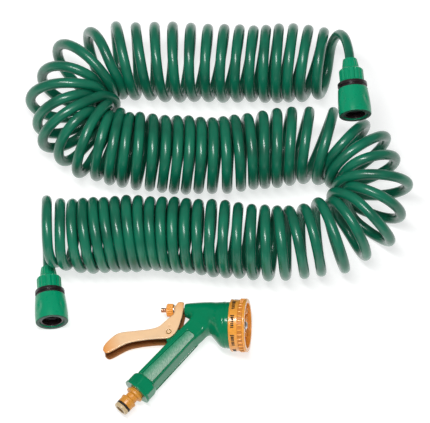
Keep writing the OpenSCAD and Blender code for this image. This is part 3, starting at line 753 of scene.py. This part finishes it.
def grip(down, across, z):
    shift, half = smooth_steps(down, GRIP, 1), smooth_steps(down, GRIP, 2)
    side = eased(np.abs(across - shift) - half, np.abs(z) - GRIP_DEPTH / 2, GRIP_ROUND)
    return eased(side, np.maximum(down - GRIP_LEN, -22 - down), 0.8)


def cylinder(across, r, ends, edge=0.3):
    """A round shape of radius r, less than zero where ends is, with an eased edge."""
    return eased(across - r, ends, edge)


def casting(x, y, z):
    down, across = along_grip(x, y)
    body = blended(barrel(x, y, z), grip(down, across, z), 6.5)
    # A raised line round the tray, then the tray itself
    tray = outline_distance(across, down, filleted(TRAY, 1.2, 3))
    line = np.hypot((tray - 1.3) * 0.8, np.abs(z) - GRIP_DEPTH / 2 + 0.05) - 0.5
    body = blended(body, np.where(down < GRIP_LEN - 1, line, 9), 0.5)
    body = carved(body, eased(tray - 0.15, GRIP_DEPTH / 2 - TRAY_DEPTH - np.abs(z), 0.2), 0.35)
    ear = np.minimum(from_pivot(x, y) - EAR_R, outline_distance(x, y, np.array(LUG, float)))
    body = blended(body, eased(ear, np.abs(z) - 6.8, 0.8), 1.6)
    spigot = cylinder(np.hypot(across, z), 11, np.maximum(down - 71, GRIP_LEN - 1 - down))
    body = np.minimum(body, spigot)
    port = np.hypot(y - PORT_R, z)
    body = np.maximum(body, -cylinder(port, 5.6, x + 19))
    body = np.maximum(body, -(port - 4))
    body = np.maximum(body, -cylinder(np.hypot(across, z), 5, -32 - down))
    return np.maximum(body, PIVOT_R - from_pivot(x, y))


# The space that the casting is found in
GUN_LOW, GUN_HIGH = (-92, -75, -24.9), (0.6, 26, 24.9)


# ---- the trigger
FINGER_EDGE = [
    (-131.8, -29.5), (-128.3, -23.4), (-119.4, -14.6), (-111, -11.9), (-100.6, -10.6), (-84.8, -8.4),
    (-75.6, -5.4), (-69.5, 0.4), (-62.7, 7.2), (-60.6, 9.6), (-59.6, 16.9), (-58.1, 21.4), (-55.8, 23)]
HANDLE_EDGE = [
    (-52, 22.8), (-50.6, 21), (-50.7, 14), (-51.6, 5.5), (-54.2, -6.3), (-56.6, -12.4), (-61.4, -17.8),
    (-67, -19.5), (-83.8, -20.7), (-99.6, -23.3), (-109.9, -26.8), (-124.1, -35.6), (-128.6, -36.2),
    (-131.6, -33.4)]
TRIGGER_W, TRIGGER_WALL = 18, 2
PAD_AT, PAD_R = (-58.85, 17), 2.2
finger_line = spline(FINGER_EDGE, 4)
trigger_outline = spline(FINGER_EDGE + HANDLE_EDGE + FINGER_EDGE[:1], 4)[:-1]


def lever(x, y, z):
    edge = outline_distance(x, y, trigger_outline)
    finger = polyline_distance(x, y, finger_line)
    # The finger side is rounder than the open side
    soft = np.clip(2.4 - 0.12 * finger, 0.7, 2.2)
    body = eased(edge, np.abs(z) - TRIGGER_W / 2, soft)
    hollow = eased(TRIGGER_WALL - finger, np.abs(z) - TRIGGER_W / 2 + TRIGGER_WALL, 1.2)
    body = np.maximum(body, -hollow)
    pin = from_pivot(x, y)
    pad_width = np.abs(z) - TRIGGER_W / 2 + TRIGGER_WALL - 0.2
    pad = cylinder(np.hypot(x - PAD_AT[0], y - PAD_AT[1]), PAD_R, pad_width)
    body = blended(body, pad, 0.6)
    ring = np.hypot(pin - 3.3, np.abs(z) - TRIGGER_W / 2) - 0.35
    body = np.maximum(body, -ring)
    oval = np.hypot((x - PIVOT[0] + 0.3) * 1.9, y - PIVOT[1] - 7.4) / 1.9
    dimple = np.hypot(oval, (np.abs(z) - TRIGGER_W / 2) * 1.8) - 0.95
    body = carved(body, dimple, 0.3)
    slot = np.maximum(np.abs(y - PAD_AT[1]) - 4.7, np.abs(z) - 3.1)
    body = np.maximum(body, -slot)
    return np.maximum(body, PIVOT_R + 0.05 - pin)


# ---- placed frames for turned parts
# Z down the handle
HANDLE = GUN @ mm(*GRIP_TOP, 0) @ Matrix.Rotation(GRIP_ANGLE, 4, "Z") @ Matrix.Rotation(QUARTER, 4, "X")


def spray_axis(height=0):
    """Z along the spray, at a height above the dial's axis."""
    return GUN @ mm(0, height, 0) @ Matrix.Rotation(QUARTER, 4, "Y")


# ---- the gun's other pieces
def zone(z, low, high, ease_in, ease_out):
    """One between two places, and easing to zero at each."""
    return np.clip((z - low) / ease_in, 0, 1) * np.clip((high - z) / ease_out, 0, 1)


def inlay_field(side):
    """A thin plate with a fine pebbled face, on one side of the handle."""
    top = GRIP_DEPTH / 2 - 0.25
    edge_line = filleted(TRAY, 1.0, 3)

    def field(x, y, z):
        down, across = along_grip(x, y)
        u, v = (down + across) * 4.4, (down - across) * 4.4
        pebble = np.sin(u + 0.8 * np.sin(0.9 * v)) + np.sin(v + 0.8 * np.sin(0.7 * u))
        face = side * z - top + 0.1 - 0.045 * pebble
        rim = outline_distance(across, down, edge_line) + 0.12
        return eased(rim, np.maximum(face, top - 0.9 - side * z), 0.15)
    return field


def collar_shape(r, z, angle):
    """Six flats between the eased top and the round rim."""
    flat, rim = 13.35, 75.6
    turn = (angle - math.radians(86)) % (math.pi / 3) - math.pi / 6
    faceted = blended(r, flat / np.cos(turn), 0.5)
    return np.where((r > 12.4) & (z < rim), np.minimum(faceted, r), r)


DIAL_R, DIAL_RIBS, RIB_RISE = 28, 34, 1.2
DIAL_OUTLINE = [
    (24.9, 0.3), (27.5, 0.3), (27.5, 1.5), (26.9, 1.8), (26.9, 9.3), (26.75, 9.6), (26.75, 14.4),
    (27.95, 14.8), (28, 16.2), (27.4, 17.2), (23.5, 17.2), (23.5, 9.9), (24.9, 9.9)]
# The front band that the ribs stand on, along the spray
RIB_BAND = (9.6, 14.6)


def dial_shape(r, z, angle):
    """Raised ribs round the front half of the dial."""
    phase = np.abs((angle * DIAL_RIBS / (2 * math.pi)) % 1 - 0.5) * 2 * math.pi * DIAL_R / DIAL_RIBS
    rib = np.clip((1.25 - phase) / 0.5, 0, 1)
    front = zone(z, *RIB_BAND, 0.5, 0.4)
    raised = RIB_RISE * rib * rib * (3 - 2 * rib) * front
    return np.where((r > DIAL_R - 1.6) & (front > 0), r + raised, r)


def dial_marks():
    """Short raised bars round the dial's rear band, a long one and six short at each pattern."""
    groups, bars, pitch = 8, 7, math.radians(4.4)
    sides = [(6, 7, 10, 9), (7, 8, 11, 10), (0, 3, 4, 1), (1, 4, 5, 2), (0, 1, 7, 6), (1, 2, 8, 7),
             (3, 9, 10, 4), (4, 10, 11, 5), (0, 6, 9, 3), (2, 5, 11, 8)]
    points, faces = [], []
    for g in range(groups):
        for i in range(bars):
            middle = 2 * math.pi * (g + 0.38) / groups + (i - (bars - 1) / 2) * pitch
            half = math.radians(3.4 if i in (1, 2, 5) else 2.5) / 2
            ends = (2.4, 6.6) if i == 0 else (2.9, 6.1)
            faces += [[len(points) + k for k in f] for f in sides]
            points += [(r * math.cos(a), r * math.sin(a), z) for r in (26.85, 27.0) for z in ends
                       for a in (middle - half, middle, middle + half)]
    return cleaned(new_mesh("dial_marks", points, faces, spray_axis()))


# The nozzles, and the ring of dimples behind them that the detent ball runs in
PATTERNS, TRACK_R, DIMPLE_R = 8, 9.5, 1.55
PLATE_REAR, PLATE_FRONT = 4.9, 9.9


def nozzle_plate(x, y, z):
    """The dial's face: a dished plate with eight nozzles, each kind twice."""
    r = np.hypot(x, y)
    dish = z - PLATE_FRONT + 0.25 * np.cos(r * 0.9) * (r > 9)
    plate = cylinder(r, 24.85, np.maximum(PLATE_REAR - z, dish), 0.4)
    hub = cylinder(r, 8, np.maximum(PLATE_REAR - z, z - 12.3), 0.7)
    body = blended(plate, hub, 1.2)
    for i in range(PATTERNS):
        a = 2 * math.pi * i / PATTERNS
        u, v = x + PORT_R * math.sin(a), y - PORT_R * math.cos(a)
        across = u * math.cos(a) + v * math.sin(a)
        down = -u * math.sin(a) + v * math.cos(a)
        d = np.hypot(u, v)
        kind, rise = i % 4, z - PLATE_FRONT
        if kind == 0:
            wide, tall, bore = 5.4 - np.clip(rise, 0, 5.2) * 0.38, 5.2, d - 1.6
        elif kind == 1:
            turn = (np.arctan2(down, across) + math.pi / 8) % (math.pi / 4) - math.pi / 8
            ring = np.hypot(d * np.cos(turn) - 4, d * np.sin(turn)) - 0.7
            wide, tall, bore = 6.2, 2.4, np.minimum(ring, d - 0.8)
        elif kind == 2:
            wide, tall, bore = 5, 3.4, d - 2.6
        else:
            slit = np.maximum(np.abs(across) - 4, np.abs(down) - 0.8)
            wide, tall, bore = 6 - np.clip(rise, 0, 4) * 0.25, 4, slit
        stud = cylinder(d, wide, np.maximum(rise - tall, -rise - 2), 0.6)
        body = blended(body, stud, 0.7)
        body = carved(body, bore, 0.25)
        dimple = np.hypot(np.hypot(x + TRACK_R * math.sin(a), y - TRACK_R * math.cos(a)), z - 4)
        body = np.maximum(body, DIMPLE_R - dimple)
    body = np.maximum(body, -np.maximum(np.abs(r - TRACK_R) - 1.5, z - 5.4))
    return np.maximum(body, 4.55 - r)


def knurled(count, depth, low, high, top):
    """Fine ribs between two places on the outside of a turned part."""
    def shape(r, z, angle):
        wave = np.abs(np.sin(angle * count / 2)) ** 0.7
        return np.where(r > top, r - depth * (1 - wave) * zone(z, low, high, 0.5, 0.5), r)
    return shape


def threaded(low, high, pitch, depth):
    """A thread cut between two places on a rod."""
    def shape(r, z, angle):
        saw = np.abs((z / pitch - angle / (2 * math.pi)) % 1 - 0.5) * 2
        return np.where(r > 1.8, r - depth * saw * zone(z, low, high, 0.4, 0.4), r)
    return shape


FLOW_NUT_Z = (-69.55, -61.95)


def casting_and_inlays():
    part(skin("gun_casting", casting, GUN_LOW, GUN_HIGH, 0.55, GUN), "body_green", "root", "gun_body")
    for side, name in ((1, "front"), (-1, "back")):
        near, far = sorted((8.4 * side, 10.2 * side))
        plate = skin("grip_inlay_" + name, inlay_field(side), (-92, -70, near), (-34, -8, far), 0.27, GUN)
        part(plate, "inlay_mint", "root", "inlay_" + name)


def collar_and_tail():
    collar = turned("collar_nut", [
        (11.05, 63.05), (12.9, 63.05), (14.2, 64.6), (15.25, 66.9), (15.25, 74.9), (15.3, 75.6), (15.6, 76.4),
        (15.6, 78.5), (8.3, 78.5), (8.3, 75.55), (11.05, 75.55)], HANDLE, 144, collar_shape, 0.3, 0.6)
    part(collar, "body_green", "root", "handle_collar")
    tail = turned("hose_tail", [
        (5, 72.5), (10.9, 72.5), (10.9, 75.5), (8, 75.5), (8, 79.8), (9.4, 80.4), (9.6, 81), (9.6, 83),
        (6.6, 84.4), (6.4, 85), (6.4, 88.6), (6.9, 89.3), (8.6, 90), (8.6, 92), (8.1, 93), (8.1, 97.6),
        (6.1, 97.6), (6.1, 100), (7.9, 100), (7.9, 103.2), (7.2, 104), (5, 104)], HANDLE, 96, None, 0.45)
    part(tail, "tail_gold", "root", "inlet_tail", slot="dial_gold")
    bead_r, bead_at = 1.08, (7.1, 98.8)
    bead = [(bead_at[0] + bead_r * math.cos(a), bead_at[1] + bead_r * math.sin(a))
            for a in np.arange(20) * math.pi / 10]
    ring = turned("tail_seal_ring", bead, HANDLE, 96, None, 0)
    part(ring, "black_rubber", "root", "tail_oring")


def trigger_and_stem():
    handle = skin("trigger_lever", lever, (-134, -38.5, -9.6), (-49, 25, 9.6), 0.5, GUN)
    part(handle, "trigger_gold", "trigger", "trigger")
    # The faces inside the lever's channel get a darker brown: painted shade where the hollow channel lies in
    # shadow
    second_finish(handle, "trigger_painted_shade", GUN, lambda x, y, z: (
        polyline_distance(x, y, finger_line) > 1.6) & (np.abs(z) < TRIGGER_W / 2 - 1.2))
    pin = turned("pivot_rivet", [
        (0, -10), (2, -10), (2, -9.72), (1.6, -9.7), (1.6, -9.1), (2, -9.1), (2, 9.1), (1.6, 9.1), (1.6, 9.7),
        (2, 9.72), (2, 10), (0, 10)], GUN @ mm(*PIVOT, 0), 48, None, 0.14)
    part(pin, "trigger_gold", "root", "pivot_pin", slot="brass")
    stem = turned("valve_rod", [
        (0, -75.5), (2.5, -75.5), (2.5, -36), (1.6, -36), (1.6, -22.6), (0, -22.6)],
        spray_axis(PORT_R), 48, threaded(-73.5, -61.5, 0.8, 0.22), 0.6, 0.16)
    part(stem, "copper", "stem", "valve_stem", slot="brass")
    rear, front = FLOW_NUT_Z
    nut = turned("flow_wheel", [
        (2.55, rear), (5.6, rear), (6.9, rear + 0.8), (6.9, front - 1.2), (5.8, front), (2.55, front)],
        spray_axis(PORT_R), 216, knurled(18, 0.6, rear + 0.3, front - 0.4, 5.2), 0.35, 0.5)
    part(nut, "dial_gold", "flow_nut", "flow_nut")


def dial():
    cup = turned("dial_ring", DIAL_OUTLINE, spray_axis(), DIAL_RIBS * 16, dial_shape, 0.35, 0.45)
    part(cup, "dial_gold", "dial", "dial_cup")
    # The faces between the ribs get a darker gold: painted shade in the gaps between the ribs
    second_finish(cup, "dial_gap_painted_shade", spray_axis(), lambda x, y, z: (np.hypot(x, y) < 27.4)
                  & (np.hypot(x, y) > 26) & (z > 9.2) & (z < 14.9))
    part(dial_marks(), "print_dark", "dial", slot="dark_plastic")
    face = skin("spray_face", nozzle_plate, (-25.4, -25.4, 4.4), (25.4, 25.4, 15.6), 0.5, spray_axis())
    part(face, "dial_gold", "dial", "pattern_plate")


# ---- the quick connectors
def sleeve_shape(r, z, angle):
    """Four shallow finger dishes."""
    off = angle % (math.pi / 2) - math.pi / 4
    reach = np.hypot(off * 17 / 5.6, (z + 15) / 9.5)
    return np.where(r > 14.6, r - 1.1 * np.clip(1 - reach, 0, 1) ** 1.4, r)


def nut_shape(r, z, angle):
    """Twelve grooves round the wide part, and ribs on the neck."""
    wide = zone(-z, 37.2, 50.6, 0.6, 1.2)
    groove = np.clip(1 - np.abs((angle * 12 / (2 * math.pi)) % 1 - 0.5) / 0.26, 0, 1)
    groove = groove * groove * (3 - 2 * groove)
    neck = zone(-z, 53.2, 62.2, 0.6, 0.8)
    rib = 0.5 + 0.5 * np.cos(angle * 16)
    r = np.where((r > 11.3) & (wide > 0), r - 1.05 * groove * wide, r)
    return np.where((r > 6.9) & (r < 9.4) & (neck > 0), r - 0.4 * (1 - rib) * neck, r)


def barb_shape(r, z, angle):
    """Saw-tooth rings round the stem that the hose is pushed on."""
    barb = np.clip((-z - 47.5) / 0.4, 0, 1)
    saw = (-z - 47) / 3.2 % 1
    return np.where((r < 3.6) & (r > 3.3), r - 0.35 * saw * barb, r)


def claw_pockets(place):
    """Four blocks where the claws sit in the guide's wall."""
    corners = [(r, side, z) for r in (9.6, 13.4) for side in (-2.6, 2.6) for z in (-8.1, -3.9)]
    sides = ((0, 1, 3, 2), (4, 6, 7, 5), (0, 4, 5, 1), (2, 3, 7, 6), (0, 2, 6, 4), (1, 5, 7, 3))
    points, faces = [], []
    for k in range(4):
        turn = Matrix.Rotation(math.pi / 4 + k * math.pi / 2, 3, "Z")
        faces += [[len(points) + i for i in f] for f in sides]
        points += [turn @ Vector(c) for c in corners]
    return cleaned(new_mesh("claw_pockets", points, faces, place))


def cut_away(piece, tool):
    """Takes the tool's shape out of the piece, then removes the tool."""
    cut = piece.modifiers.new("cut", "BOOLEAN")
    cut.operation, cut.solver, cut.object = "DIFFERENCE", "EXACT", tool
    bpy.context.view_layer.update()
    shape = bpy.data.meshes.new_from_object(piece.evaluated_get(bpy.context.evaluated_depsgraph_get()))
    piece.modifiers.clear()
    piece.data = shape
    bpy.data.objects.remove(tool)
    return piece


def connector(name, place):
    sleeve = turned(name + "_grip_sleeve", [
        (12.75, -0.6), (13.3, 0), (16.4, 0), (17.1, -0.8), (17.3, -5), (17.3, -9), (17.1, -14), (16.8, -18),
        (16.35, -23), (16, -26), (15.85, -28.7), (15.4, -29.5), (14.1, -29.5), (14.1, -19), (12.75, -19)],
        place, 160, sleeve_shape, 0.4, 0.7)
    part(sleeve, "connector_green", name + "_sleeve", name + "_sleeve")
    # The mouth's end face and inner lip get a dark green: painted shade on the end face, which faces away
    # from the light
    second_finish(sleeve, "mouth_painted_shade", place, lambda x, y, z: (z > -0.7) & (np.hypot(x, y) < 16.75))
    nut = turned(name + "_hose_nut", [
        (10.7, -36.2), (12.8, -36.2), (12.8, -50.4), (11, -52), (8.9, -52.6), (8.7, -56), (8, -60.5),
        (7.3, -63.5), (5.3, -63.5), (5.3, -52.1), (9.2, -52.1), (9.2, -47.6), (10.7, -47.6)],
        place, 192, nut_shape, 0.45, 0.6)
    part(nut, "connector_green", name + "_nut", name + "_nut")
    core = turned(name + "_core", [
        (10.3, -1.5), (12.6, -1.5), (12.6, -18.9), (11.8, -19.1), (11.8, -29.5), (13.9, -29.6), (13.9, -32.5),
        (15.6, -32.5), (15.6, -36), (10.5, -36), (10.5, -47), (3.5, -47), (3.5, -60), (2.2, -60), (2.2, -30),
        (4.5, -28), (4.5, -24), (8.4, -24), (8.4, -19.8), (8.05, -19.8), (8.05, -9), (10.3, -8)],
        place, 128, barb_shape, 0.4, 0.5)
    core = cut_away(core, claw_pockets(place))
    core.data.set_sharp_from_angle(angle=SHARP_EDGE)
    part(core, "dark_plastic", "root", name + "_body")


# ---- the finishes
moulded("body_green", "008358", 0.17, 0.07, 0.000015, 700, Coat_Weight=0.1, Coat_Roughness=0.04, IOR=1.36)
moulded("connector_green", "00976a", 0.3, 0.08, Coat_Weight=0.35, Coat_Roughness=0.07, Coat_IOR=1.4,
        Specular_IOR_Level=0.3)
# Painted shade: the dark green on the connectors' mouths
moulded("mouth_painted_shade", "0b4634")
moulded("plate_grey", "54585a", 0.45, 0.1, 0.00004, 1800)
moulded("dark_plastic", "231619", 0.3, 0.2, 0.00003, 1400, Coat_Weight=0.2, Coat_Roughness=0.1)
moulded("print_dark", "241305", 0.5, 0.25, 0.00002, 2500)
moulded("white_plastic", "dcdcd6", 0.4, 0.04)
painted("dial_gold", "fcaa40", 0.26, 0.04, "fa9f40", Coat_Weight=0.4, Coat_Roughness=0.06)
# Painted shade: the darker gold between the dial's ribs
painted("dial_gap_painted_shade", "dd8a30", 0.4, 0.08, "d07c28")
# Painted shade: the darker brown inside the trigger's channel
painted("trigger_painted_shade", "b4743a", 0.5, 0.08, "94592a")
metal("brass", "c99a4c", 0.28)
metal("copper", "dca284", 0.3, (900, 900, 900))
metal("steel", "c6c8ca", 0.24)
rubber("black_rubber", "1a1817")
inlay_finish()
trigger_finish()
tail_finish()
hose_finish()

# ---- the pieces
casting_and_inlays()
collar_and_tail()
trigger_and_stem()
dial()
connector("tap", TAP)
connector("coupler", COUPLER)


# ---- the hose
LINE = hose_line()
hose = part(tube("recoil_hose", LINE, HOSE_SIDES), "hose_green", "root", "hose_upper_run",
            "hose_left_bend", "hose_middle_run", "hose_right_bend", "hose_lower_run", "hose_tap_lead",
            "hose_gun_lead")


# ---- materials on the CAD's own pieces
for subpart in frame["record"]["subparts"]:
    node = frame["nodes"][subpart["node"]]
    if not node.hide_render:
        for holder in node.material_slots:
            holder.material = finishes[subpart["material_slot"]]


# ---- floor and light
FLOOR_HALF, FLOOR_GREY, FLOOR_GLOW = 3.0, 0.4, 0.72
FLOOR_DROP = 0.0001


def floor_piece():
    corners = [(x * FLOOR_HALF, y * FLOOR_HALF, 0) for x, y in ((-1, -1), (1, -1), (1, 1), (-1, 1))]
    piece = new_mesh("floor", corners, [(0, 1, 2, 3)])
    piece.location = (0, 0, cad_box[0][2] - FLOOR_DROP)
    f = Finish("floor_white", Roughness=0.6)
    f.shader.inputs["Base Color"].default_value = (FLOOR_GREY, FLOOR_GREY, FLOOR_GREY, 1)
    f.shader.inputs["Emission Color"].default_value = (1, 1, 1, 1)
    f.shader.inputs["Emission Strength"].default_value = FLOOR_GLOW
    return dressed(piece, "floor_white")


def soft_light(name, at, size, power, colour, aim=(0.03, 0.14, 0.03)):
    lamp = bpy.data.lights.new(name, "AREA")
    lamp.shape, lamp.size, lamp.size_y = "RECTANGLE", size[0], size[1]
    lamp.energy, lamp.color = power, colour
    holder = bpy.data.objects.new(name, lamp)
    holder.location = at
    holder.rotation_euler = (Vector(aim) - Vector(at)).to_track_quat("-Z", "Y").to_euler()
    scene.collection.objects.link(holder)


def studio_world():
    """Soft light from all round, a little less of it from above."""
    world = bpy.data.worlds.new("studio")
    world.use_nodes = True
    nodes, link = world.node_tree.nodes, world.node_tree.links.new
    way = nodes.new("ShaderNodeSeparateXYZ")
    link(nodes.new("ShaderNodeTexCoord").outputs["Generated"], way.inputs["Vector"])
    height = nodes.new("ShaderNodeMapRange")
    for key, value in (("From Min", 0.05), ("From Max", 0.75), ("To Min", 0.25), ("To Max", 0.16)):
        height.inputs[key].default_value = value
    link(way.outputs["Z"], height.inputs["Value"])
    nodes["Background"].inputs["Color"].default_value = (0.97, 0.985, 1, 1)
    link(height.outputs["Result"], nodes["Background"].inputs["Strength"])
    scene.world = world


floor_piece()
soft_light("overhead", (-0.18, -0.12, 1.9), (1.1, 0.28), 30, (1, 1, 1))
soft_light("front_window", (0.1, -2.2, 0.55), (2.0, 0.7), 4, (0.86, 0.93, 1))
studio_world()
scene.view_settings.view_transform = "Standard"

# ---- declared cord
cord_bits = [frame["nodes"][n] for n in frame["record"]["physics"]["cord_nodes"]
             if not n.startswith("hose_") and not frame["nodes"][n].hide_render]
cord_bits += [bpy.data.objects[end + name] for end in ("tap", "coupler")
              for name in ("_grip_sleeve", "_hose_nut", "_core")]
